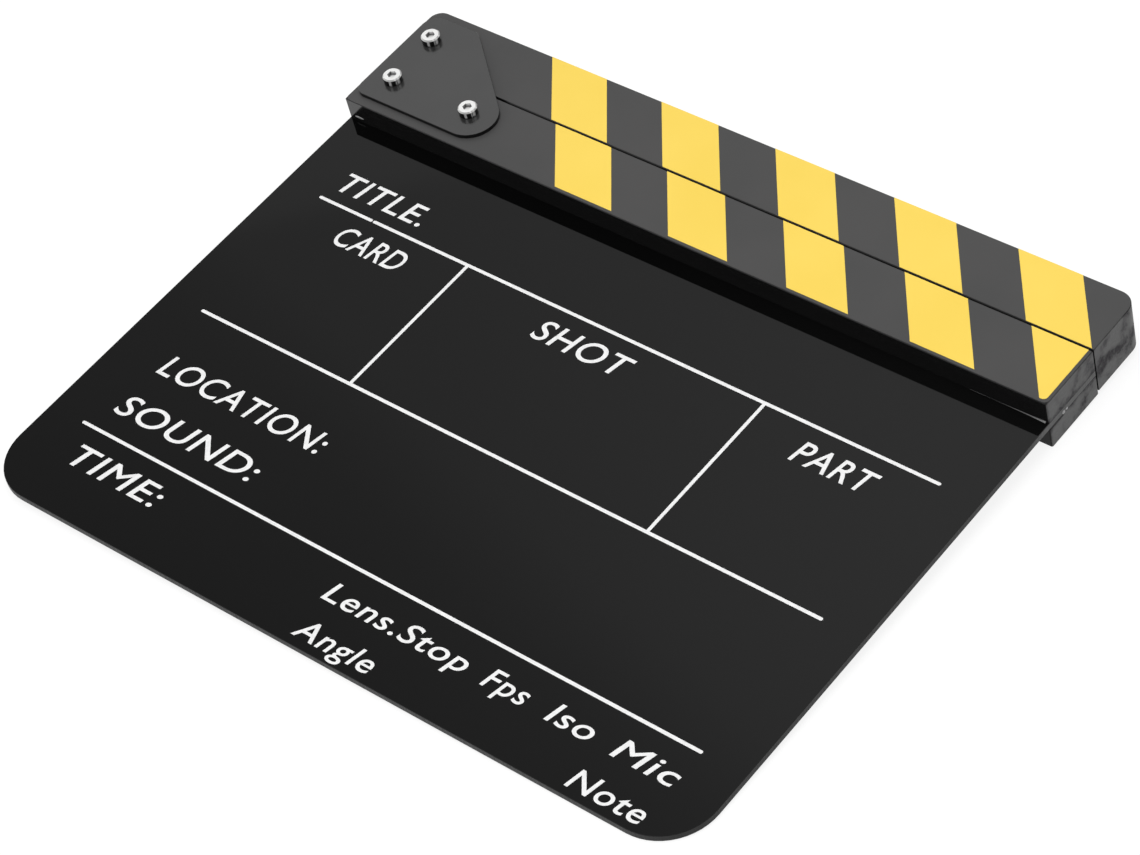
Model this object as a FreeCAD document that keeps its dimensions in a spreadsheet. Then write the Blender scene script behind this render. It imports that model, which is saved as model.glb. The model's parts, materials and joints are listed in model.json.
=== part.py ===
"""Clapperboard lying on its back: an acrylic slate, a lower stick bonded to it and a hinged upper stick.

Millimetres. +X runs along the sticks from the hinge to the free end, +Y from the slate's foot to the
sticks, +Z out of the writing face. The origin is under the board's centre, level with its lowest faces.
"""
import FreeCAD, Part
import os
import re

import Sketcher

# Driving dimensions, in millimetres, degrees and counts

SIZES = {
    # Slate and sticks
    "board_width": 300.0,
    "board_height": 245.0,
    "panel_thick": 2.5,
    "panel_round": 20.0,
    "panel_break": 0.15,
    "bar_thick": 9.0,
    "bar_break": 0.25,
    "rear_break": 0.4,
    "stick_width": 25.825,
    "stick_gap": 0.65,
    "stick_end_round": 0.6,
    "stick_tip_round": 6.2,
    "stick_crown_round": 5.0,
    # Face films and their stripes
    "film_thick": 0.15,
    "film_margin": 0.25,
    "film_round": 1.6,
    "stripe_thick": 0.1,
    "stripe_width": 25.1,
    "stripe_pitch": 49.8,
    "stripe_count": 5,
    "stripe_lean": 38.65,
    "stripe_start": 75.06,
    "stripe_shift": 2.0,
    "stripe_margin": 1.25,
    # Hinge places
    "pivot_inset": 10.4,
    "pivot_rise": 10.625,
    "fixing_inset": 11.4,
    "fixing_rise": 14.6,
    "fixing_span": 35.7,
    # Hinge plates
    "plate_thick": 1.5,
    "plate_break": 0.12,
    "plate_side_inset": 1.4,
    "plate_top_inset": 4.0,
    "plate_foot_reach": 10.85,
    "plate_toe_reach": 29.5,
    "plate_peak_reach": 12.8,
    "plate_toe_round": 10.0,
    "plate_heel_round": 4.5,
    "plate_crown_round": 6.0,
    "plate_peak_round": 6.0,
    # Screws
    "screw_dia": 4.0,
    "screw_length": 16.0,
    "screw_tip_break": 0.6,
    "head_dia": 7.0,
    "head_height": 2.8,
    "head_break": 0.45,
    "socket_flats": 3.0,
    "socket_depth": 1.6,
    # Sleeve nuts
    "sleeve_dia": 5.0,
    "sleeve_short": 0.5,
    "sleeve_spare": 2.0,
    "sleeve_head_dia": 9.0,
    "sleeve_head_thick": 1.5,
    "sleeve_head_break": 0.4,
    "sleeve_socket_flats": 2.5,
    "sleeve_socket_depth": 1.8,
    # Slip washers
    "washer_dia": 12.0,
    "front_washer_thick": 0.1,
    "rear_washer_thick": 1.0,
    # Magnets
    "magnet_dia": 6.0,
    "magnet_thick": 3.0,
    "magnet_inset": 10.0,
    # Clearances: radial, but axial beside the slip washers
    "hole_clearance": 0.15,
    "thread_clearance": 0.05,
    "running_clearance": 0.05,
    "magnet_clearance": 0.05,
    "axial_clearance": 0.05,
    # How far a cut runs past what it cuts
    "cut_overrun": 5.0,
}

# Two points closer than this are the same point

TOLERANCE = 1e-5

# Places and levels worked out from the driving dimensions

LEFT = "(-board_width / 2)"
FOOT = "(-board_height / 2)"
TOP = "(board_height / 2)"
UPPER_Y = f"({TOP} - stick_width)"
LOWER_TOP_Y = f"({UPPER_Y} - stick_gap)"
LOWER_Y = f"({LOWER_TOP_Y} - stick_width)"

PIVOT_X = f"({LEFT} + pivot_inset)"
PIVOT_Y = f"({UPPER_Y} + pivot_rise)"
FIXING_X = f"({LEFT} + fixing_inset)"
FIXING_Y = f"({LOWER_Y} + fixing_rise)"

REAR_PLATE_Z = "sleeve_head_thick"
REAR_BAR_Z = f"({REAR_PLATE_Z} + plate_thick)"
PANEL_Z = f"({REAR_BAR_Z} + bar_thick)"
FRONT_BAR_Z = f"({PANEL_Z} + panel_thick)"
LOWER_FILM_Z = f"({FRONT_BAR_Z} + bar_thick)"
FRONT_PLATE_Z = f"({LOWER_FILM_Z} + film_thick)"
HEAD_Z = f"({FRONT_PLATE_Z} + plate_thick)"

CORE_THICK = "(panel_thick - front_washer_thick - rear_washer_thick - 2 * axial_clearance)"
UPPER_REAR_Z = f"({REAR_BAR_Z} + rear_washer_thick + axial_clearance)"
UPPER_CORE_Z = f"({UPPER_REAR_Z} + bar_thick)"
UPPER_FRONT_Z = f"({UPPER_CORE_Z} + {CORE_THICK})"
UPPER_FILM_Z = f"({UPPER_FRONT_Z} + bar_thick)"

MAGNET_X = f"({LEFT} + board_width - magnet_inset)"
MAGNET_Z = f"(({UPPER_REAR_Z} + {PANEL_Z}) / 2)"

SLEEVE_HOLE = "(sleeve_dia + 2 * hole_clearance)"
PIVOT_HOLE = "(sleeve_dia + 2 * running_clearance)"
SCREW_HOLE = "(screw_dia + 2 * hole_clearance)"

doc = FreeCAD.newDocument("clapperboard")
sheet = doc.addObject("Spreadsheet::Sheet", "dims")
subparts = []


# Sheet, expressions and sketches


def fill_sheet():
    """Put each driving dimension in a cell of its own, with its name as the alias."""
    for row, (alias, value) in enumerate(SIZES.items(), start=1):
        sheet.set(f"A{row}", alias)
        sheet.set(f"B{row}", str(value))
        sheet.setAlias(f"B{row}", alias)
    doc.recompute()


def formula(text):
    """Write a sum of dimension names as an expression on the sheet's cells."""
    return re.sub(r"[a-z_]+", lambda word: f"dims.{word[0]}" if word[0] in SIZES else word[0], text)


def value_of(text):
    return float(sheet.evalExpression(formula(text)))


def spot_of(point):
    return FreeCAD.Vector(value_of(point[0]), value_of(point[1]), 0)


def bind(item, prop, text):
    item.setExpression(prop, formula(text))


def place(item, x, y, z):
    """Tie a sub-part's place to the sheet and list it for export."""
    bind(item, "Placement.Base.x", x)
    bind(item, "Placement.Base.y", y)
    bind(item, "Placement.Base.z", z)
    subparts.append(item)


def new_body(label):
    """A body that may hold several loose solids."""
    body = doc.addObject("PartDesign::Body", label)
    body.Label = label
    body.AllowCompound = True
    return body


def new_sketch(body, name, role="XY_Plane"):
    """A sketch on one of the body's own origin planes."""
    sketch = body.newObject("Sketcher::SketchObject", f"{body.Name}_{name}")
    plane = [item for item in body.Origin.OriginFeatures if item.Role == role][0]
    sketch.AttachmentSupport = (plane, "")
    sketch.MapMode = "FlatFace"
    return sketch


def tie_point(sketch, geometry, vertex, point):
    """Hold a sketch point at a place given by two sums of dimension names."""
    for kind, text in zip(("DistanceX", "DistanceY"), point):
        index = sketch.addConstraint(Sketcher.Constraint(kind, -1, 1, geometry, vertex, value_of(text)))
        bind(sketch, f"Constraints[{index}]", text)


def draw_polygon(sketch, points):
    """A closed outline of straight lines through the points."""
    count = len(points)
    first = sketch.GeometryCount
    for number in range(count):
        start = spot_of(points[number])
        end = spot_of(points[(number + 1) % count])
        sketch.addGeometry(Part.LineSegment(start, end))
    for number in range(count):
        following = first + (number + 1) % count
        sketch.addConstraint(Sketcher.Constraint("Coincident", first + number, 2, following, 1))
    for number, point in enumerate(points):
        tie_point(sketch, first + number, 1, point)


def draw_circle(sketch, point, diameter):
    size = value_of(diameter)
    circle = sketch.addGeometry(Part.Circle(spot_of(point), FreeCAD.Vector(0, 0, 1), size / 2))
    tie_point(sketch, circle, 3, point)
    index = sketch.addConstraint(Sketcher.Constraint("Diameter", circle, size))
    bind(sketch, f"Constraints[{index}]", diameter)


def draw_hexagon(sketch, flats):
    """A hexagon about the sketch's origin, given its width across flats."""
    radius = f"({flats} / sqrt(3))"
    angles = [30 + 60 * number for number in range(6)]
    draw_polygon(sketch, [(f"{radius} * cos({angle})", f"{radius} * sin({angle})") for angle in angles])


# Features


def pad(body, sketch, length):
    feature = body.newObject("PartDesign::Pad", f"{sketch.Name}_pad")
    feature.Profile = sketch
    bind(feature, "Length", length)
    doc.recompute()


def pocket(body, sketch, depth=None, upward=True):
    """Cut the sketch's outlines out of the body, to a depth or right through."""
    before = body.Shape.Volume
    feature = body.newObject("PartDesign::Pocket", f"{sketch.Name}_pocket")
    feature.Profile = sketch
    feature.Reversed = upward
    if depth is None:
        feature.Type = "ThroughAll"
    else:
        bind(feature, "Length", depth)
    doc.recompute()
    if body.Shape.Volume >= before:
        raise RuntimeError(f"{feature.Name} cuts nothing")
    return feature


def repeat_along_x(body, sketch, features, spacing, count):
    """Copies of the features along the sketch's horizontal axis."""
    pattern = body.newObject("PartDesign::LinearPattern", f"{body.Name}_row")
    pattern.Originals = features
    pattern.Direction = (sketch, ["H_Axis"])
    pattern.Mode = "Spacing"
    bind(pattern, "Offset", spacing)
    bind(pattern, "Occurrences", count)
    body.Tip = pattern
    doc.recompute()


def dress(body, kind, name, size_name, size, wanted):
    """A fillet or chamfer of one size on those edges of the body's tip that pass the test."""
    tip = body.Tip
    edges = [f"Edge{number}" for number, edge in enumerate(tip.Shape.Edges, start=1) if wanted(edge)]
    feature = body.newObject(f"PartDesign::{kind}", f"{body.Name}_{name}")
    feature.Base = (tip, edges)
    bind(feature, size_name, size)
    doc.recompute()


def stands_on(points):
    """A test for the upright edges over the given points of the plan."""
    spots = [spot_of(point) for point in points]

    def test(edge):
        box = edge.BoundBox
        foot = FreeCAD.Vector(box.XMin, box.YMin, 0)
        head = FreeCAD.Vector(box.XMax, box.YMax, 0)
        return any(spot.isEqual(foot, TOLERANCE) and spot.isEqual(head, TOLERANCE) for spot in spots)

    return test


def lies_at(*levels):
    """A test for the level edges at the given heights of the piece."""
    heights = [value_of(level) for level in levels]

    def test(edge):
        box = edge.BoundBox
        return any(max(abs(box.ZMin - height), abs(box.ZMax - height)) < TOLERANCE for height in heights)

    return test


def slab(label, corners, rounds, thick, edge_break=None, rims=(), holes=()):
    """A flat piece: an outline with corners rounded, rims at some levels chamfered and holes drilled."""
    body = new_body(label)
    outline = new_sketch(body, "outline")
    draw_polygon(outline, corners)
    pad(body, outline, thick)
    for number, (radius, picked) in enumerate(rounds):
        wanted = stands_on([corners[index] for index in picked])
        dress(body, "Fillet", f"round_{number}", "Radius", radius, wanted)
    if edge_break:
        dress(body, "Chamfer", "rims", "Size", edge_break, lies_at(*rims))
    if holes:
        drill = new_sketch(body, "holes")
        for point, diameter in holes:
            draw_circle(drill, point, diameter)
        pocket(body, drill)
    return body


def turned(label, profile):
    """A piece turned about its own Z axis from a half profile of radii and heights."""
    body = new_body(label)
    sketch = new_sketch(body, "profile", "XZ_Plane")
    draw_polygon(sketch, profile)
    feature = body.newObject("PartDesign::Revolution", f"{label}_turned")
    feature.Profile = sketch
    feature.ReferenceAxis = (sketch, ["V_Axis"])
    doc.recompute()
    return body, sketch, feature


# Slate and lower stick, each drawn from its own lower left corner

LOWER_FIXINGS = [
    ("fixing_inset", "fixing_rise"),
    ("fixing_inset + fixing_span", "fixing_rise"),
]


def make_panel():
    height = f"({LOWER_TOP_Y} - {FOOT})"
    corners = [("0", "0"), ("board_width", "0"), ("board_width", height), ("0", height)]
    holes = [((x, f"{FIXING_Y} - {FOOT}"), SLEEVE_HOLE) for x, _ in LOWER_FIXINGS]
    rounds = [("panel_round", (0, 1))]
    panel = slab("slate_panel", corners, rounds, "panel_thick", "panel_break", ("0", "panel_thick"), holes)
    place(panel, LEFT, FOOT, PANEL_Z)


def lower_bar(label, edge_break, rim, level):
    """One of the lower stick's bars, its foot corners rounded and one rim chamfered all round."""
    corners = [("0", "0"), ("board_width", "0"), ("board_width", "stick_width"), ("0", "stick_width")]
    holes = [(point, SLEEVE_HOLE) for point in LOWER_FIXINGS]
    rounds = [("stick_end_round", (0, 1))]
    bar = slab(label, corners, rounds, "bar_thick", edge_break, (rim,), holes)
    place(bar, LEFT, LOWER_Y, level)
    return bar


def lower_film(label, margin, thick, level):
    """A layer on the lower stick's face, its foot corners rounded."""
    right = f"board_width - {margin}"
    high = "stick_width - film_margin"
    corners = [(margin, margin), (right, margin), (right, high), (margin, high)]
    holes = [(point, SLEEVE_HOLE) for point in LOWER_FIXINGS]
    film = slab(label, corners, [("film_round", (0, 1))], thick, holes=holes)
    place(film, LEFT, LOWER_Y, level)
    return film


def make_lower_stick():
    lower_bar("lower_stick_front_bar", "bar_break", "bar_thick", FRONT_BAR_Z)
    rear_bar = lower_bar("lower_stick_rear_bar", "rear_break", "0", REAR_BAR_Z)
    sink_magnet(rear_bar, LEFT, LOWER_Y, REAR_BAR_Z, f"{LOWER_TOP_Y} - magnet_thick")
    lower_film("lower_stick_face_film", "film_margin", "film_thick", LOWER_FILM_Z)
    stripes = lower_film("lower_stick_stripes", "stripe_margin", "stripe_thick", FRONT_PLATE_Z)
    start = "(stripe_start + stick_gap * tan(stripe_lean) + stripe_shift)"
    cut_gaps(stripes, start, "stick_width", "0")
    make_magnet("lower_stick_magnet", f"{LOWER_TOP_Y} - magnet_thick")


# Upper stick, each layer drawn from the pivot

HEEL_SIDE = "min(pivot_inset; pivot_rise)"


def upper_layer(label, thick, inset, level, edge_break=None, rim="0"):
    """One layer of the upper stick. Its heel is round about the pivot, so that it clears the lower stick."""
    left = f"(-{HEEL_SIDE} + {inset})"
    low = f"(-pivot_rise + {inset})"
    right = f"board_width - pivot_inset - {inset}"
    high = f"stick_width - pivot_rise - {inset}"
    corners = [(left, low), (right, low), (right, high), (left, high)]
    rounds = [
        (f"{HEEL_SIDE} - {inset}", (0,)),
        (f"stick_tip_round - {inset}", (2,)),
        (f"stick_crown_round - {inset}", (3,)),
    ]
    layer = slab(label, corners, rounds, thick, edge_break, (rim,), [(("0", "0"), PIVOT_HOLE)])
    place(layer, PIVOT_X, PIVOT_Y, level)
    return layer


def make_upper_stick():
    upper_layer("upper_stick_front_bar", "bar_thick", "0", UPPER_FRONT_Z, "bar_break", "bar_thick")
    upper_layer("upper_stick_core_strip", CORE_THICK, "0", UPPER_CORE_Z)
    rear_bar = upper_layer("upper_stick_rear_bar", "bar_thick", "0", UPPER_REAR_Z, "rear_break")
    sink_magnet(rear_bar, PIVOT_X, PIVOT_Y, UPPER_REAR_Z, UPPER_Y)
    upper_layer("upper_stick_face_film", "film_thick", "film_margin", UPPER_FILM_Z)
    stripes_z = f"({UPPER_FILM_Z} + film_thick)"
    stripes = upper_layer("upper_stick_stripes", "stripe_thick", "film_margin", stripes_z)
    cut_gaps(stripes, "(stripe_start - pivot_inset)", "(-pivot_rise)", "(-pivot_rise)")
    make_magnet("upper_stick_magnet", UPPER_Y)


# Stripes and magnets of both sticks


def cut_gaps(body, start, level, foot):
    """Leave slanted stripes of a layer. The first one's left side passes through start at that level."""
    low = f"({foot} - cut_overrun)"
    high = f"({foot} + stick_width + cut_overrun)"

    def side(along, y):
        return f"({start} + {along} - ({y} - {level}) * tan(stripe_lean))"

    head = new_sketch(body, "before_stripes")
    beyond = f"({foot} - cut_overrun - stick_width * tan(stripe_lean))"
    draw_polygon(head, [(beyond, low), (side("0", low), low), (side("0", high), high), (beyond, high)])
    pocket(body, head)
    gap = new_sketch(body, "gap")
    foot_side = [(side("stripe_width", low), low), (side("stripe_pitch", low), low)]
    head_side = [(side("stripe_pitch", high), high), (side("stripe_width", high), high)]
    draw_polygon(gap, foot_side + head_side)
    cut = pocket(body, gap)
    repeat_along_x(body, gap, [cut], "stripe_pitch", "stripe_count")


def sink_magnet(bar, bar_x, bar_y, bar_z, magnet_y):
    """A blind seat for a magnet in the bar's edge that faces the other stick."""
    before = bar.Shape.Volume
    seat = bar.newObject("PartDesign::SubtractiveCylinder", f"{bar.Name}_magnet_seat")
    seat.Placement.Rotation = FreeCAD.Rotation(FreeCAD.Vector(1, 0, 0), -90)
    bind(seat, "Radius", "magnet_dia / 2 + magnet_clearance")
    bind(seat, "Height", "magnet_thick")
    bind(seat, "Placement.Base.x", f"{MAGNET_X} - {bar_x}")
    bind(seat, "Placement.Base.y", f"{magnet_y} - {bar_y}")
    bind(seat, "Placement.Base.z", f"{MAGNET_Z} - {bar_z}")
    doc.recompute()
    if bar.Shape.Volume >= before:
        raise RuntimeError(f"{seat.Name} cuts nothing")


def make_magnet(label, y):
    magnet = doc.addObject("Part::Cylinder", label)
    magnet.Label = label
    magnet.Placement.Rotation = FreeCAD.Rotation(FreeCAD.Vector(1, 0, 0), -90)
    bind(magnet, "Radius", "magnet_dia / 2")
    bind(magnet, "Height", "magnet_thick")
    place(magnet, MAGNET_X, y, MAGNET_Z)


# Hinge


def make_hinge_plate(label, hole, level):
    """A three-cornered plate, drawn from its first fixing screw."""
    left = "plate_side_inset - fixing_inset"
    foot = "-plate_foot_reach"
    toe = "fixing_span + plate_toe_reach"
    peak = "pivot_inset - fixing_inset + plate_peak_reach"
    top = f"{TOP} - plate_top_inset - {FIXING_Y}"
    corners = [(left, foot), (toe, foot), (peak, top), (left, top)]
    rounds = [
        ("plate_heel_round", (0,)),
        ("plate_toe_round", (1,)),
        ("plate_peak_round", (2,)),
        ("plate_crown_round", (3,)),
    ]
    holes = [
        (("0", "0"), hole),
        (("fixing_span", "0"), hole),
        (("pivot_inset - fixing_inset", f"{PIVOT_Y} - {FIXING_Y}"), hole),
    ]
    plate = slab(label, corners, rounds, "plate_thick", "plate_break", ("0", "plate_thick"), holes)
    place(plate, FIXING_X, FIXING_Y, level)


def make_screws(label, x, y, count):
    """Socket-head screws in a row, each drawn from under its head."""
    shank = "screw_dia / 2"
    head = "head_dia / 2"
    profile = [
        ("0", "-screw_length"),
        (f"{shank} - screw_tip_break", "-screw_length"),
        (shank, "-screw_length + screw_tip_break"),
        (shank, "0"),
        (head, "0"),
        (head, "head_height - head_break"),
        (f"{head} - head_break", "head_height"),
        ("0", "head_height"),
    ]
    body, sketch, stem = turned(label, profile)
    socket = new_sketch(body, "socket")
    bind(socket, "AttachmentOffset.Base.z", "head_height")
    draw_hexagon(socket, "socket_flats")
    recess = pocket(body, socket, "socket_depth", upward=False)
    if count > 1:
        repeat_along_x(body, sketch, [stem, recess], "fixing_span", str(count))
    place(body, x, y, HEAD_Z)


def make_sleeves(label, x, y, count):
    """Flat-headed sleeve nuts in a row, each drawn from the outer face of its head."""
    barrel = "sleeve_dia / 2"
    head = "sleeve_head_dia / 2"
    bore = "screw_dia / 2 + thread_clearance"
    floor = f"{HEAD_Z} - screw_length - sleeve_spare"
    tip = f"{FRONT_PLATE_Z} - sleeve_short"
    profile = [
        ("0", "0"),
        (f"{head} - sleeve_head_break", "0"),
        (head, "sleeve_head_break"),
        (head, "sleeve_head_thick"),
        (barrel, "sleeve_head_thick"),
        (barrel, tip),
        (bore, tip),
        (bore, floor),
        ("0", floor),
    ]
    body, sketch, stem = turned(label, profile)
    socket = new_sketch(body, "socket")
    draw_hexagon(socket, "sleeve_socket_flats")
    recess = pocket(body, socket, "sleeve_socket_depth")
    if count > 1:
        repeat_along_x(body, sketch, [stem, recess], "fixing_span", str(count))
    place(body, x, y, "0")


def make_washer(label, thick, level):
    body = new_body(label)
    ring = new_sketch(body, "ring")
    draw_circle(ring, ("0", "0"), "washer_dia")
    draw_circle(ring, ("0", "0"), SLEEVE_HOLE)
    pad(body, ring, thick)
    place(body, PIVOT_X, PIVOT_Y, level)


def make_hinge():
    make_hinge_plate("front_hinge_plate", SCREW_HOLE, FRONT_PLATE_Z)
    make_hinge_plate("rear_hinge_plate", SLEEVE_HOLE, REAR_PLATE_Z)
    make_screws("hinge_fixing_screws", FIXING_X, FIXING_Y, 2)
    make_screws("pivot_screw", PIVOT_X, PIVOT_Y, 1)
    make_sleeves("hinge_fixing_sleeves", FIXING_X, FIXING_Y, 2)
    make_sleeves("pivot_sleeve", PIVOT_X, PIVOT_Y, 1)
    make_washer("front_pivot_washer", "front_washer_thick", f"{FRONT_PLATE_Z} - front_washer_thick")
    make_washer("rear_pivot_washer", "rear_washer_thick", REAR_BAR_Z)


# Checks and export


def check_document():
    """Stop if any object failed to compute or any sub-part has no sound shape."""
    for item in doc.Objects:
        if "Invalid" in item.State or "Error" in item.State:
            raise RuntimeError(f"{item.Name} failed: {item.State}")
    for item in subparts:
        if item.Shape.isNull() or not item.Shape.isValid():
            raise RuntimeError(f"{item.Label} has no valid shape")


def export_subparts():
    os.makedirs("parts", exist_ok=True)
    for item in subparts:
        item.Shape.exportStep(os.path.join("parts", f"{item.Label}.step"))
        print(f"{item.Label}: {len(item.Shape.Solids)} solid(s), {item.Shape.Volume:.1f} mm3")


fill_sheet()
make_panel()
make_lower_stick()
make_upper_stick()
make_hinge()
doc.recompute()
check_document()
export_subparts()
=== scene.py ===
"""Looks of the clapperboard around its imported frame: finishes, the slate's print, studio and camera.

Metres, in the part's own frame: +X along the sticks from the hinge to the free end, +Y from the slate's
foot to the sticks, +Z out of the writing face.
"""
import json
import math

import bmesh
import bpy
from mathutils import Matrix, Vector, noise


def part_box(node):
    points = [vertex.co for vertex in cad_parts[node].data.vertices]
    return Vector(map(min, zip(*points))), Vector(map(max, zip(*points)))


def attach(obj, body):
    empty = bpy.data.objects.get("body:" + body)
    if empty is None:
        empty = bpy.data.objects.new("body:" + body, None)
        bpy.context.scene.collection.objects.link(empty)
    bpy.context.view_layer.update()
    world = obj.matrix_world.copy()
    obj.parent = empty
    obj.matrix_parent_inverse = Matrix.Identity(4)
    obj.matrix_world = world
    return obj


MM = 0.001
ACRYLIC_IOR = 1.49
PAINT_IOR = 2.2

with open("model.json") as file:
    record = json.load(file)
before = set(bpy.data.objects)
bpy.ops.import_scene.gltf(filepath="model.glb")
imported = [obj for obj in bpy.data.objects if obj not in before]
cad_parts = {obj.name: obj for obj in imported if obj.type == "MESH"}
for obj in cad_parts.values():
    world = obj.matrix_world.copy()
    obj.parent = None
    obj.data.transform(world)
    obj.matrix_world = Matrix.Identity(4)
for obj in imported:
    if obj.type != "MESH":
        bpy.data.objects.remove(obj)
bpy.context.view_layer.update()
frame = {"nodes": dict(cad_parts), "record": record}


# Shader nodes


def colour(red, green, blue):
    return (red, green, blue, 1.0)


def grey(tone):
    return colour(tone, tone, tone)


class Finish:
    """A procedural material. Its methods add nodes and give back their output sockets."""

    def __init__(self, name):
        self.material = bpy.data.materials.new(name)
        self.material.use_nodes = True
        self.tree = self.material.node_tree
        self.surface = self.tree.nodes["Principled BSDF"]
        self.place = self.node("TexCoord")

    def node(self, kind, **settings):
        node = self.tree.nodes.new(f"ShaderNode{kind}")
        for key, value in settings.items():
            setattr(node, key, value)
        return node

    def feed(self, socket, value):
        """Link a socket's value, or set a constant."""
        if isinstance(value, bpy.types.NodeSocket):
            self.tree.links.new(value, socket)
        else:
            socket.default_value = value

    def paint(self, **inputs):
        """Set the surface's inputs, named with underscores for spaces."""
        for key, value in inputs.items():
            self.feed(self.surface.inputs[key.replace("_", " ")], value)

    def noise(self, size, detail=2.0, stretch=(1, 1, 1), space="Object"):
        """Cloudy noise whose lumps are about this size, drawn out along some axes."""
        mapping = self.node("Mapping")
        self.tree.links.new(self.place.outputs[space], mapping.inputs["Vector"])
        mapping.inputs["Scale"].default_value = [1 / (size * share) for share in stretch]
        texture = self.node("TexNoise")
        texture.inputs["Scale"].default_value = 1
        texture.inputs["Detail"].default_value = detail
        self.tree.links.new(mapping.outputs["Vector"], texture.inputs["Vector"])
        return texture.outputs["Fac"]

    def spread(self, value, low, high, start=0.3, end=0.7):
        """Map a value that runs from start to end smoothly onto low to high."""
        node = self.node("MapRange", interpolation_type="SMOOTHSTEP")
        self.feed(node.inputs["Value"], value)
        for key, number in zip(("From Min", "From Max", "To Min", "To Max"), (start, end, low, high)):
            self.feed(node.inputs[key], number)
        return node.outputs["Result"]

    def math(self, operation, *values):
        node = self.node("Math", operation=operation)
        for socket, value in zip(node.inputs, values):
            self.feed(socket, value)
        return node.outputs[0]

    def mix(self, kind, share, first, second):
        node = self.node("Mix", data_type="RGBA" if kind == "Color" else "FLOAT")
        sockets = {item.identifier: item for item in node.inputs}
        self.feed(sockets["Factor_Float"], share)
        self.feed(sockets[f"A_{kind}"], first)
        self.feed(sockets[f"B_{kind}"], second)
        return [item for item in node.outputs if item.identifier == f"Result_{kind}"][0]

    def blend(self, share, first, second):
        """A number between two."""
        return self.mix("Float", share, first, second)

    def tint(self, share, first, second):
        """A colour between two."""
        return self.mix("Color", share, first, second)

    def facing(self, axis, start=0.6, end=0.8):
        """1 on faces square to an axis of the piece, 0 on the others."""
        parts = self.node("SeparateXYZ")
        self.tree.links.new(self.place.outputs["Normal"], parts.inputs[0])
        size = self.math("ABSOLUTE", parts.outputs[axis])
        return self.spread(size, 0.0, 1.0, start, end)

    def along(self, axis):
        """Where a point lies along an axis of the part, in metres."""
        parts = self.node("SeparateXYZ")
        self.tree.links.new(self.place.outputs["Object"], parts.inputs[0])
        return parts.outputs[axis]

    def openness(self, reach, only_local=True):
        """1 on open faces, less where the piece, or any piece, closes in within this reach."""
        node = self.node("AmbientOcclusion", samples=8, only_local=only_local)
        node.inputs["Distance"].default_value = reach
        return node.outputs["AO"]

    def emboss(self, height, depth):
        """Raise the surface by up to this depth where the height is 1."""
        node = self.node("Bump")
        node.inputs["Distance"].default_value = depth
        self.tree.links.new(height, node.inputs["Height"])
        self.tree.links.new(node.outputs["Normal"], self.surface.inputs["Normal"])


# Finishes


# Span across the sticks' side over which the slate's sawn edges are painted lighter: a painted highlight
PAINTED_EDGE_LIGHT_SPAN = (55 * MM, 70 * MM)
# Span along the sticks over which the slate's face turns a little lighter towards the free end
LIGHTER_FACE_REACH = (-60 * MM, 150 * MM)


def panel_acrylic():
    """Polished black sheet with faint wipe marks, its face a little lighter towards the free end, and sawn
    edges painted lighter where they run between the bars, a painted highlight.
    """
    finish = Finish("panel_acrylic")
    face = finish.facing("Z")
    wipes = finish.noise(30 * MM, 3, (4, 1, 1))
    polish = finish.spread(wipes, 0.03, 0.05)
    saw_marks = finish.noise(0.6 * MM, 3, (1, 1, 20))
    sawn = finish.spread(saw_marks, 0.34, 0.5)
    # Painted highlight: the sawn edges turn lighter where they run between the bars
    painted_edge_light = finish.spread(finish.along("Y"), 0.0, 1.0, *PAINTED_EDGE_LIGHT_SPAN)
    edge_tone = finish.tint(saw_marks, grey(0.008), grey(0.02))
    edge_tone = finish.tint(painted_edge_light, edge_tone, grey(0.075))
    # The face's tone turns a little lighter towards the free end
    lighter_towards_free_end = finish.spread(finish.along("X"), 0.0, 1.0, *LIGHTER_FACE_REACH)
    face_tone = finish.tint(lighter_towards_free_end, grey(0.001), grey(0.003))
    finish.paint(
        Base_Color=finish.tint(face, edge_tone, face_tone),
        Roughness=finish.blend(face, sawn, polish),
        Specular_IOR_Level=finish.blend(face, 0.2, 0.5),
        IOR=ACRYLIC_IOR,
    )
    return finish.material


SEAM_LEVEL = 13.2 * MM
SEAM_CORE = 0.5 * MM
SEAM_REACH = 4 * MM
# Height, width and end across the sticks of a near-black line on the bar ends: painted shadow in the open
# joint by the slate's edge
JOINT_SHADOW_LEVEL = 11.5 * MM
JOINT_SHADOW_WIDTH = (0.25 * MM, 0.5 * MM)
JOINT_SHADOW_END = (77 * MM, 79 * MM)


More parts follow.
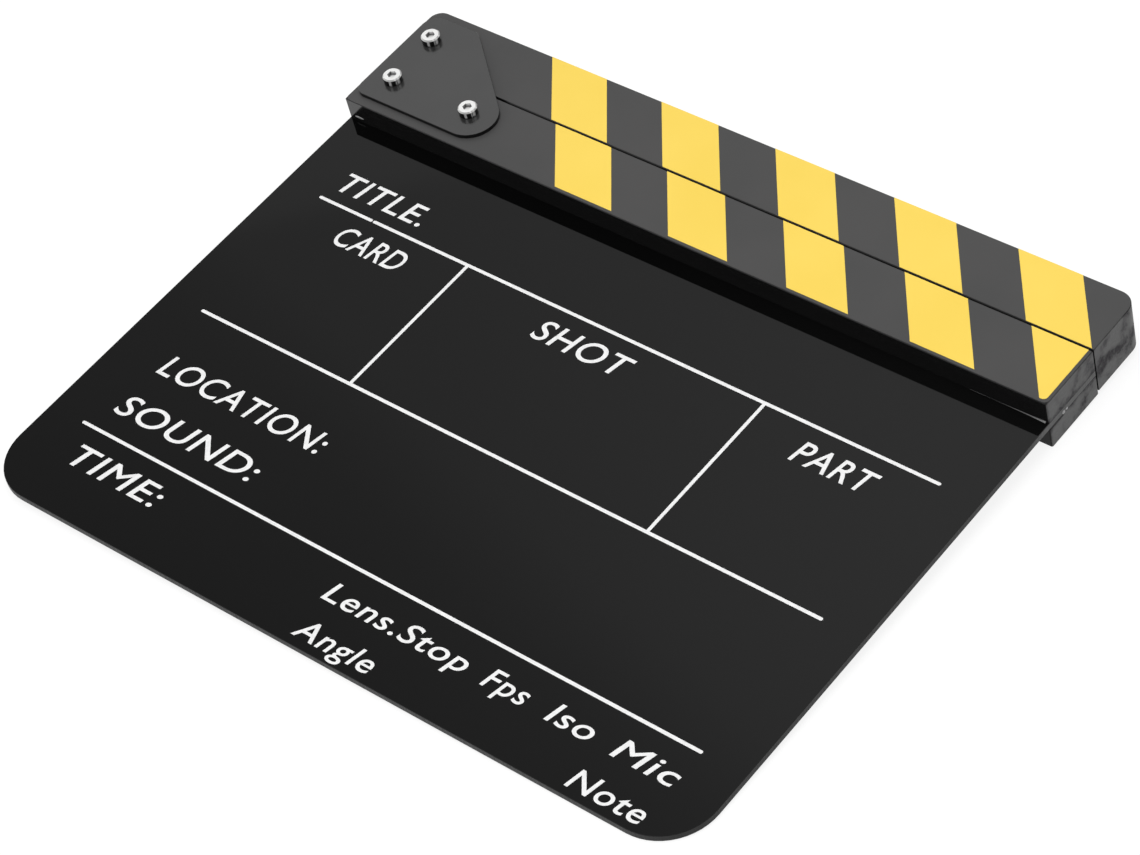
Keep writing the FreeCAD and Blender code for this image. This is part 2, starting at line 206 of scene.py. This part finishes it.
def bar_acrylic(name, base, shine):
    """Black bar whose sawn ends are cloudy and darkest along the layers' seams, with a near-black line
    painted as the shadow in the open joint by the slate's edge.
    """
    finish = Finish(name)
    end = finish.facing("X", 0.5, 0.9)
    clouds = finish.noise(6.5 * MM, 4)
    grain = finish.noise(0.9 * MM, 3)
    from_seam = finish.math("ABSOLUTE", finish.math("SUBTRACT", finish.along("Z"), SEAM_LEVEL))
    seam = finish.spread(from_seam, 1.0, 0.0, SEAM_CORE, SEAM_REACH)
    mottle = finish.math("MULTIPLY_ADD", grain, 0.25, clouds)
    dark = finish.spread(finish.math("MULTIPLY_ADD", seam, 0.2, mottle), 0.0, 1.0, 0.56, 0.9)
    pale_tone = finish.tint(finish.spread(grain, 0.0, 1.0), grey(0.045), grey(0.09))
    end_tone = finish.tint(dark, pale_tone, colour(0.014, 0.012, 0.015))
    # Painted shadow: a near-black line along the open joint, fading out part way across the stick
    from_joint_shadow = finish.math("ABSOLUTE", finish.math("SUBTRACT", finish.along("Z"), JOINT_SHADOW_LEVEL))
    joint_shadow = finish.spread(from_joint_shadow, 1.0, 0.0, *JOINT_SHADOW_WIDTH)
    joint_shadow = finish.math("MULTIPLY", joint_shadow, finish.spread(finish.along("Y"), 1.0, 0.0, *JOINT_SHADOW_END))
    end_tone = finish.tint(joint_shadow, end_tone, grey(0.002))
    wipes = finish.noise(25 * MM, 3, (5, 1, 1))
    polish = finish.spread(wipes, 0.11, 0.16)
    end_shine = finish.blend(finish.math("MAXIMUM", dark, joint_shadow), 0.35, 0.1)
    finish.paint(
        Base_Color=finish.tint(end, grey(base), end_tone),
        Roughness=finish.blend(end, polish, finish.spread(grain, 0.38, 0.55)),
        Specular_IOR_Level=finish.blend(end, shine, end_shine),
        IOR=ACRYLIC_IOR,
    )
    finish.emboss(finish.math("MULTIPLY", end, mottle), 0.05 * MM)
    return finish.material


def satin_film(name, dark, light):
    """Thin satin film with a fine grain, its tone a little uneven."""
    finish = Finish(name)
    drift = finish.noise(35 * MM, 2)
    grain = finish.noise(0.12 * MM, 2)
    finish.paint(
        Base_Color=finish.tint(finish.spread(drift, 0.0, 1.0), dark, light),
        Roughness=finish.spread(grain, 0.4, 0.47),
    )
    finish.emboss(grain, 0.004 * MM)
    return finish.material


def satin_paint():
    """Sprayed satin black on sheet metal, its edges and sides painted near-black and less shiny as painted
    shade along the plate's rim.
    """
    finish = Finish("satin_paint")
    face = finish.facing("Z", 0.75, 0.95)
    drift = finish.noise(20 * MM, 2)
    peel = finish.noise(0.7 * MM, 2)
    face_tone = finish.tint(finish.spread(drift, 0.0, 1.0), grey(0.0215), grey(0.0255))
    # Edges and sides painted near-black and less shiny: painted shade along the plate's rim
    finish.paint(
        Base_Color=finish.tint(face, grey(0.003), face_tone),
        Roughness=finish.spread(peel, 0.17, 0.21),
        Specular_IOR_Level=finish.blend(face, 0.1, 0.5),
        IOR=PAINT_IOR,
    )
    finish.emboss(peel, 0.001 * MM)
    return finish.material


def bright_plating():
    """Plated steel: streaked sides whose light and dark streaks are painted reflections, satin turned ends
    painted near-white as a painted highlight, and painted shade in the sockets and where it seats.
    """
    finish = Finish("bright_plating")
    flat = finish.facing("Z", 0.5, 0.9)
    # Streaks round the drawn sides, painted light and dark as painted reflections
    painted_reflection_streaks = finish.spread(finish.noise(0.35, 2, space="Normal"), 0.0, 1.0, 0.5, 0.65)
    # Painted shade: the sides darken where the head seats on the plate, by how closed-in they are
    seat_shade = finish.spread(finish.openness(1.6 * MM, only_local=False), 0.0, 1.0, 0.5, 0.8)
    side_tone = finish.tint(seat_shade, grey(0.01), finish.tint(painted_reflection_streaks, grey(0.06), grey(0.7)))
    # The flat ends painted near-white with little metal: a painted highlight
    tone = finish.tint(flat, side_tone, colour(0.95, 0.95, 0.94))
    # Painted shade: the colour greys in the sockets, where they close in
    socket_shade = finish.spread(finish.openness(1.2 * MM), 0.0, 1.0, 0.4, 0.8)
    finish.paint(
        Base_Color=finish.tint(socket_shade, grey(0.3), tone),
        Metallic=finish.blend(flat, finish.blend(painted_reflection_streaks, 1.0, 0.5), 0.2),
        Roughness=finish.blend(flat, 0.2, finish.spread(finish.noise(0.4 * MM), 0.55, 0.65)),
    )
    return finish.material


def nylon():
    """Natural nylon, waxy and slightly see-through."""
    finish = Finish("nylon")
    drift = finish.noise(2 * MM, 3)
    finish.paint(
        Base_Color=finish.tint(drift, colour(0.72, 0.7, 0.63), colour(0.82, 0.8, 0.74)),
        Roughness=finish.spread(drift, 0.4, 0.55),
    )
    return finish.material


def magnet_plating():
    """Nickel plate with fine scuffs."""
    finish = Finish("magnet_plating")
    scuffs = finish.noise(0.5 * MM, 3, (6, 1, 1))
    finish.paint(
        Base_Color=colour(0.66, 0.64, 0.61),
        Metallic=1.0,
        Roughness=finish.spread(scuffs, 0.2, 0.35),
    )
    return finish.material


def white_ink():
    """Screen-printed white, a little thinner in places."""
    finish = Finish("white_ink")
    cover = finish.noise(1.5 * MM, 3)
    finish.paint(
        Base_Color=finish.tint(finish.spread(cover, 0.0, 1.0), grey(0.83), grey(0.92)),
        Roughness=finish.spread(cover, 0.45, 0.55),
    )
    finish.emboss(finish.noise(0.25 * MM), 0.003 * MM)
    return finish.material


REAR_BARS = ("lower_stick_rear_bar", "upper_stick_rear_bar")


def finish_nodes():
    """Give each piece of the frame the finish of its slot, and the hidden rear bars a darker, less shiny
    copy that paints them as lying in shade under the slate.
    """
    finishes = {
        "panel_acrylic": panel_acrylic(),
        "bar_acrylic": bar_acrylic("bar_acrylic", 0.007, 0.5),
        "face_film": satin_film("face_film", grey(0.063), colour(0.07, 0.069, 0.069)),
        "stripe_film": satin_film("stripe_film", colour(0.945, 0.675, 0.104), colour(0.97, 0.7, 0.118)),
        "hinge_plates": satin_paint(),
        "bright_fasteners": bright_plating(),
        "slip_washers": nylon(),
        "magnets": magnet_plating(),
    }
    # A darker, less shiny copy of the bars' finish: painted shade for the rear bars under the slate
    shaded_bar = bar_acrylic("shaded_bar_acrylic", 0.003, 0.1)
    for part in frame["record"]["subparts"]:
        finish = shaded_bar if part["node"] in REAR_BARS else finishes[part["material_slot"]]
        for slot in frame["nodes"][part["node"]].material_slots:
            slot.material = finish


# Print on the slate. Places are in millimetres from the slate's lower left corner

PRINT_PROUD = 0.04 * MM
PRINT_SUNK = 0.01 * MM
PRINT_CENTRE = Vector((150, 95, 0))
PRINT_TURN = Matrix.Rotation(math.radians(-0.255), 3, "Z")
RULE_WIDTH = 1.25
RULE_END_SIDES = 10
TOP_RULE = 155.81
MIDDLE_RULE = 93.64
FOOT_RULE = 34.58
RULES = [
    (16.9, 42.2, TOP_RULE),
    (42.6, 284.5, TOP_RULE),
    (16.9, 284.5, MIDDLE_RULE),
    (15.9, 283.6, FOOT_RULE),
]
DIVIDERS = (86.7, 215.05)
LETTER_SLANT = math.tan(math.radians(11))
LETTER_SPACING = 1.08
LETTER_WEIGHT = 0.007
LETTER_SIDES = 6
CAPITAL = 9.0
SMALL_CAPITAL = 7.6
LABELS = [
    ("TITLE.", 19.4, 58.6, 161.3, CAPITAL),
    ("CARD", 35.6, 66.0, 140.6, CAPITAL),
    ("SHOT", 126.6, 166.6, 140.6, CAPITAL),
    ("PART", 235.6, 266.6, 140.4, CAPITAL),
    ("LOCATION:", 22.6, 98.2, 64.0, CAPITAL),
    ("SOUND:", 21.6, 86.2, 43.3, CAPITAL),
    ("TIME:", 23.4, 64.8, 18.3, CAPITAL),
    ("Lens.Stop", 140.0, 200.0, 19.3, SMALL_CAPITAL),
    ("Fps", 207.4, 224.6, 19.3, SMALL_CAPITAL),
    ("Iso", 233.4, 251.0, 19.3, SMALL_CAPITAL),
    ("Mic", 259.4, 283.8, 19.3, SMALL_CAPITAL),
    ("Angle", 141.4, 174.0, 3.4, SMALL_CAPITAL),
    ("Note", 254.6, 283.4, 3.4, SMALL_CAPITAL),
]


def box_of(mesh):
    points = [vertex.co for vertex in mesh.vertices]
    low = Vector([min(point[axis] for point in points) for axis in range(3)])
    high = Vector([max(point[axis] for point in points) for axis in range(3)])
    return low, high


def letters(words):
    """A mesh of the words in slanted bold letters, with the type's own size."""
    curve = bpy.data.curves.new("letters", "FONT")
    curve.body = words
    curve.shear = LETTER_SLANT
    curve.space_character = LETTER_SPACING
    curve.bevel_depth = LETTER_WEIGHT
    curve.bevel_resolution = 1
    curve.resolution_u = LETTER_SIDES
    curve.extrude = 0.5 - LETTER_WEIGHT
    holder = bpy.data.objects.new("letters", curve)
    mesh = bpy.data.meshes.new_from_object(holder)
    bpy.data.objects.remove(holder)
    bpy.data.curves.remove(curve)
    return mesh


def set_label(target, words, left, right, baseline, capital):
    """Add the words to a mesh, fitted between left and right on the baseline."""
    capital_low, capital_high = box_of(letters("H"))
    mesh = letters(words)
    low, high = box_of(mesh)
    stretch = Vector(((right - left) / (high.x - low.x), capital / (capital_high.y - capital_low.y), 1))
    shift = Vector((left, baseline, 0))
    start = Vector((low.x, capital_low.y, 0))
    for vertex in mesh.vertices:
        vertex.co = (vertex.co - start) * stretch + shift
    target.from_mesh(mesh)
    bpy.data.meshes.remove(mesh)


def set_block(target, outline):
    """Add an upright block one unit thick to a mesh."""
    rings = [[target.verts.new((x, y, level)) for x, y in outline] for level in (-0.5, 0.5)]
    foot, head = rings
    target.faces.new(reversed(foot))
    target.faces.new(head)
    for number in range(len(outline)):
        beside = (number + 1) % len(outline)
        target.faces.new((foot[number], foot[beside], head[beside], head[number]))


def set_rule(target, left, right, level):
    """Add a level rule with round ends to a mesh."""
    half = RULE_WIDTH / 2
    outline = []
    for middle, start in ((right - half, -math.pi / 2), (left + half, math.pi / 2)):
        for number in range(RULE_END_SIDES + 1):
            turn = start + math.pi * number / RULE_END_SIDES
            outline.append((middle + half * math.cos(turn), level + half * math.sin(turn)))
    set_block(target, outline)


def set_divider(target, across):
    """Add an upright divider between the top rule and the middle one to a mesh."""
    half = RULE_WIDTH / 2
    low = MIDDLE_RULE + half
    high = TOP_RULE - half
    left = across - half
    right = across + half
    set_block(target, [(left, low), (right, low), (right, high), (left, high)])


def lay_print(name, draft, ink):
    """Make a printed piece of a drawing one unit thick, on the slate's face."""
    low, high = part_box("slate_panel")
    thick = PRINT_PROUD + PRINT_SUNK
    middle = high.z + (PRINT_PROUD - PRINT_SUNK) / 2
    for vertex in draft.verts:
        flat = (PRINT_TURN @ (vertex.co - PRINT_CENTRE) + PRINT_CENTRE) * MM
        vertex.co = (low.x + flat.x, low.y + flat.y, middle + vertex.co.z * thick)
    mesh = bpy.data.meshes.new(name)
    draft.to_mesh(mesh)
    draft.free()
    mesh.materials.append(ink)
    piece = bpy.data.objects.new(name, mesh)
    bpy.context.scene.collection.objects.link(piece)
    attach(piece, "board")


def print_slate():
    ink = white_ink()
    rules = bmesh.new()
    for rule in RULES:
        set_rule(rules, *rule)
    for across in DIVIDERS:
        set_divider(rules, across)
    lay_print("printed_rules", rules, ink)
    labels = bmesh.new()
    for label in LABELS:
        set_label(labels, *label)
    lay_print("printed_labels", labels, ink)


# Glue squeezed out at the lower stick's foot and ends, paler than clear glue so that it shows as glints:
# partly painted highlight. Places are from the stick's lower left corner

GLUE_BEAD = (270 * MM, 298.8 * MM, 0.02 * MM, 0.55 * MM)
BEAD_STEP = 1 * MM
BEAD_SIDES = 5
BEAD_SWING_SHARE = 0.4
BEAD_LUMP = 12 * MM
BEAD_GROWTH = 4
DROP_STEPS = 3
GLUE_DROPS = [
    ((4.9 * MM, 0.0, 1.7 * MM), (2.1 * MM, 0.25 * MM, 0.5 * MM)),
    ((300 * MM, 7.7 * MM, -1.9 * MM), (0.4 * MM, 0.8 * MM, 0.7 * MM)),
    ((300 * MM, 9.4 * MM, -1.8 * MM), (0.3 * MM, 0.6 * MM, 0.5 * MM)),
]


def glue():
    """Set glue, smoky and glossy, its grey paler than clear glue so the beads and drops read as glints:
    partly painted highlight.
    """
    finish = Finish("glue")
    smoke = finish.noise(6 * MM, 3, (3, 1, 1))
    # Pale smoky grey, paler than clear glue: partly painted highlight for the glints
    finish.paint(
        Base_Color=finish.tint(finish.spread(smoke, 0.0, 1.0), grey(0.12), grey(0.35)),
        Roughness=finish.spread(smoke, 0.1, 0.25),
    )
    return finish.material


def add_bead(target, start, end, first_size, last_size):
    """A quarter-round bead in the corner between slate and lower stick, uneven and thickest at its end."""
    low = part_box("lower_stick_front_bar")[0]
    count = round((end - start) / BEAD_STEP)
    rows = []
    for number in range(count + 1):
        share = number / count
        x = low.x + start + (end - start) * share
        swing = 1 + BEAD_SWING_SHARE * noise.noise((x / BEAD_LUMP, 0, 0))
        size = (first_size + (last_size - first_size) * share ** BEAD_GROWTH) * swing
        angles = [math.pi / 2 * side / BEAD_SIDES for side in range(BEAD_SIDES + 1)]
        arc = [(x, low.y - size * math.cos(turn), low.z + size * math.sin(turn)) for turn in angles]
        rows.append([target.verts.new(point) for point in [(x, low.y, low.z)] + arc])
    for row, following in zip(rows, rows[1:]):
        for side in range(len(row)):
            beside = (side + 1) % len(row)
            target.faces.new((row[side], row[beside], following[beside], following[side]))
    target.faces.new(reversed(rows[0]))
    target.faces.new(rows[-1])


def add_drop(target, place, radii):
    """An oval drop."""
    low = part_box("lower_stick_front_bar")[0]
    ball = bmesh.ops.create_icosphere(target, subdivisions=DROP_STEPS, radius=1)
    bmesh.ops.scale(target, vec=radii, verts=ball["verts"])
    bmesh.ops.translate(target, vec=low + Vector(place), verts=ball["verts"])


def lay_glue():
    draft = bmesh.new()
    add_bead(draft, *GLUE_BEAD)
    for drop in GLUE_DROPS:
        add_drop(draft, *drop)
    bmesh.ops.recalc_face_normals(draft, faces=draft.faces)
    mesh = bpy.data.meshes.new("glue")
    draft.to_mesh(mesh)
    draft.free()
    mesh.materials.append(glue())
    piece = bpy.data.objects.new("glue", mesh)
    bpy.context.scene.collection.objects.link(piece)
    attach(piece, "board")


# Studio

FLOOR_SIDE = 8.0
FLOOR_TONE = grey(0.8)
FLOOR_GLOW = 1.1
FLOOR_WHITE_SHARE = 0.78


def floor_material():
    """Pale floor that shows almost white behind the object and keeps a faint shadow."""
    material = bpy.data.materials.new("floor")
    material.use_nodes = True
    tree = material.node_tree
    tree.nodes.clear()
    plain = tree.nodes.new("ShaderNodeBsdfDiffuse")
    plain.inputs["Color"].default_value = FLOOR_TONE
    white = tree.nodes.new("ShaderNodeEmission")
    white.inputs["Strength"].default_value = FLOOR_GLOW
    path = tree.nodes.new("ShaderNodeLightPath")
    seen = path.outputs["Is Camera Ray"]
    for ray in ("Is Glossy Ray", "Is Transmission Ray"):
        either = tree.nodes.new("ShaderNodeMath")
        either.operation = "MAXIMUM"
        tree.links.new(seen, either.inputs[0])
        tree.links.new(path.outputs[ray], either.inputs[1])
        seen = either.outputs[0]
    share = tree.nodes.new("ShaderNodeMath")
    share.operation = "MULTIPLY"
    share.inputs[1].default_value = FLOOR_WHITE_SHARE
    tree.links.new(seen, share.inputs[0])
    mix = tree.nodes.new("ShaderNodeMixShader")
    tree.links.new(share.outputs[0], mix.inputs["Fac"])
    tree.links.new(plain.outputs[0], mix.inputs[1])
    tree.links.new(white.outputs[0], mix.inputs[2])
    output = tree.nodes.new("ShaderNodeOutputMaterial")
    tree.links.new(mix.outputs[0], output.inputs["Surface"])
    return material


def lay_floor():
    """A floor through the three points that the board rests on when it lies on its back."""
    sleeve_low, sleeve_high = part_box("hinge_fixing_sleeves")
    bar_low, bar_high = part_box("lower_stick_rear_bar")
    panel_low, panel_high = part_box("slate_panel")
    at_sleeve = Vector((sleeve_high.x, sleeve_low.y, sleeve_low.z))
    at_bar = Vector((bar_high.x, bar_low.y, bar_low.z))
    at_foot = Vector((panel_high.x, panel_low.y, panel_low.z))
    normal = (at_sleeve - at_foot).cross(at_bar - at_sleeve).normalized()
    if normal.z < 0:
        normal.negate()
    mesh = bpy.data.meshes.new("floor")
    half = FLOOR_SIDE / 2
    corners = [(-half, -half, 0), (half, -half, 0), (half, half, 0), (-half, half, 0)]
    mesh.from_pydata(corners, [], [(0, 1, 2, 3)])
    mesh.materials.append(floor_material())
    floor = bpy.data.objects.new("floor", mesh)
    turn = Vector((0, 0, 1)).rotation_difference(normal).to_matrix().to_4x4()
    floor.matrix_world = Matrix.Translation(at_sleeve) @ turn
    bpy.context.scene.collection.objects.link(floor)


# Brightness of the studio's walls, by how far a direction leans to the sticks' side, +Y

WALL_TONES = [
    (0.2, 0.19),
    (0.33, 0.235),
    (0.36, 0.275),
    (0.385, 0.325),
    (0.4, 0.39),
    (0.41, 0.44),
    (0.44, 0.475),
    (0.49, 0.51),
    (0.65, 0.48),
    (0.85, 0.25),
    (1.0, 0.1),
]

# What a wall on the hinge's side, -X, takes away, and what the others add, on the sticks' side

DIM_SIDE = -0.7
CLEAR_SIDE = -0.35
DIM_LOSS = -0.13
CLEAR_GAIN = 0.09
STICK_SIDE = (0.35, 0.44)

# A paler corner of the walls, between the hinge's side and the sticks', and how far its edge lies that way

CORNER_WAY = (-1.286, 1.0, 0.0)
CORNER_EDGE = (1.204, 1.21)
CORNER_GAIN = 0.09

# Bright walls close to the floor: all round, and higher up on the side of the slate's foot

SKIRTING = (0.1, 0.0)
FRONT_BAND = (0.62, 0.4)
FRONT_SIDE = (0.4, 0.0)
BAND_TONE = grey(1.1)


def light_walls():
    """Studio walls: dim over the slate's foot, paler over the sticks, and bright near the floor."""
    world = bpy.data.worlds.new("studio")
    bpy.context.scene.world = world
    world.use_nodes = True
    tree = world.node_tree
    place = tree.nodes.new("ShaderNodeTexCoord")
    parts = tree.nodes.new("ShaderNodeSeparateXYZ")
    tree.links.new(place.outputs["Generated"], parts.inputs[0])
    lean = parts.outputs
    corner = tree.nodes.new("ShaderNodeVectorMath")
    corner.operation = "DOT_PRODUCT"
    tree.links.new(place.outputs["Generated"], corner.inputs[0])
    corner.inputs[1].default_value = CORNER_WAY

    def fade(value, start, end, low=0.0, high=1.0):
        node = tree.nodes.new("ShaderNodeMapRange")
        node.interpolation_type = "SMOOTHSTEP"
        for key, number in zip(("From Min", "From Max", "To Min", "To Max"), (start, end, low, high)):
            node.inputs[key].default_value = number
        tree.links.new(value, node.inputs["Value"])
        return node.outputs["Result"]

    def combine(operation, first, second):
        node = tree.nodes.new("ShaderNodeMath")
        node.operation = operation
        tree.links.new(first, node.inputs[0])
        tree.links.new(second, node.inputs[1])
        return node.outputs[0]

    tones = tree.nodes.new("ShaderNodeValToRGB")
    ramp = tones.color_ramp
    while len(ramp.elements) < len(WALL_TONES):
        ramp.elements.new(0.5)
    for element, (position, tone) in zip(ramp.elements, WALL_TONES):
        element.position = position
        element.color = grey(tone)
    tree.links.new(lean["Y"], tones.inputs["Fac"])
    side = fade(lean["X"], DIM_SIDE, CLEAR_SIDE, DIM_LOSS, CLEAR_GAIN)
    wall = combine("ADD", tones.outputs["Color"], combine("MULTIPLY", side, fade(lean["Y"], *STICK_SIDE)))
    wall = combine("ADD", wall, fade(corner.outputs["Value"], *CORNER_EDGE, high=CORNER_GAIN))
    band = combine("MULTIPLY", fade(lean["Z"], *FRONT_BAND), fade(lean["Y"], *FRONT_SIDE))
    bright = combine("MAXIMUM", fade(lean["Z"], *SKIRTING), band)
    mix = tree.nodes.new("ShaderNodeMix")
    mix.data_type = "RGBA"
    sockets = {item.identifier: item for item in mix.inputs}
    tree.links.new(bright, sockets["Factor_Float"])
    tree.links.new(wall, sockets["A_Color"])
    sockets["B_Color"].default_value = BAND_TONE
    result = [item for item in mix.outputs if item.identifier == "Result_Color"][0]
    tree.links.new(result, tree.nodes["Background"].inputs["Color"])


# Lamp

LAMP_PLACE = Vector((0.15, -0.1, 1.6))
LAMP_TARGET = Vector((0.0, 0.0, 0.0))
LAMP_SIDE = 1.2
LAMP_POWER = 19.8


def hang_lamp():
    """A soft lamp overhead, which leaves no image of itself on the polished slate."""
    light = bpy.data.lights.new("overhead", "AREA")
    light.shape = "SQUARE"
    light.size = LAMP_SIDE
    light.energy = LAMP_POWER
    lamp = bpy.data.objects.new("overhead", light)
    aim = (LAMP_TARGET - LAMP_PLACE).to_track_quat("-Z", "Y")
    lamp.matrix_world = Matrix.Translation(LAMP_PLACE) @ aim.to_matrix().to_4x4()
    lamp.visible_camera = False
    lamp.visible_glossy = False
    bpy.context.scene.collection.objects.link(lamp)


# Camera, as it stood for the photograph

CAMERA_PLACE = (0.65232, -0.52422, 0.88082)
CAMERA_AZIMUTH = math.radians(50.917)
CAMERA_ELEVATION = math.radians(46.549)
CAMERA_ROLL = math.radians(-16.129)
CAMERA_LENS = 116.266
CAMERA_SENSOR = 36.0
CAMERA_NEAR = 0.05


def set_camera():
    data = bpy.data.cameras.new("camera")
    data.lens = CAMERA_LENS
    data.sensor_width = CAMERA_SENSOR
    data.sensor_fit = "HORIZONTAL"
    data.clip_start = CAMERA_NEAR
    camera = bpy.data.objects.new("camera", data)
    around = Matrix.Rotation(CAMERA_AZIMUTH, 4, "Z")
    tilt = Matrix.Rotation(math.pi / 2 - CAMERA_ELEVATION, 4, "X")
    roll = Matrix.Rotation(CAMERA_ROLL, 4, "Z")
    camera.matrix_world = Matrix.Translation(CAMERA_PLACE) @ around @ tilt @ roll
    bpy.context.scene.collection.objects.link(camera)
    bpy.context.scene.camera = camera


finish_nodes()
print_slate()
lay_glue()
lay_floor()
light_walls()
hang_lamp()
set_camera()
bpy.context.scene.view_settings.view_transform = "Standard"
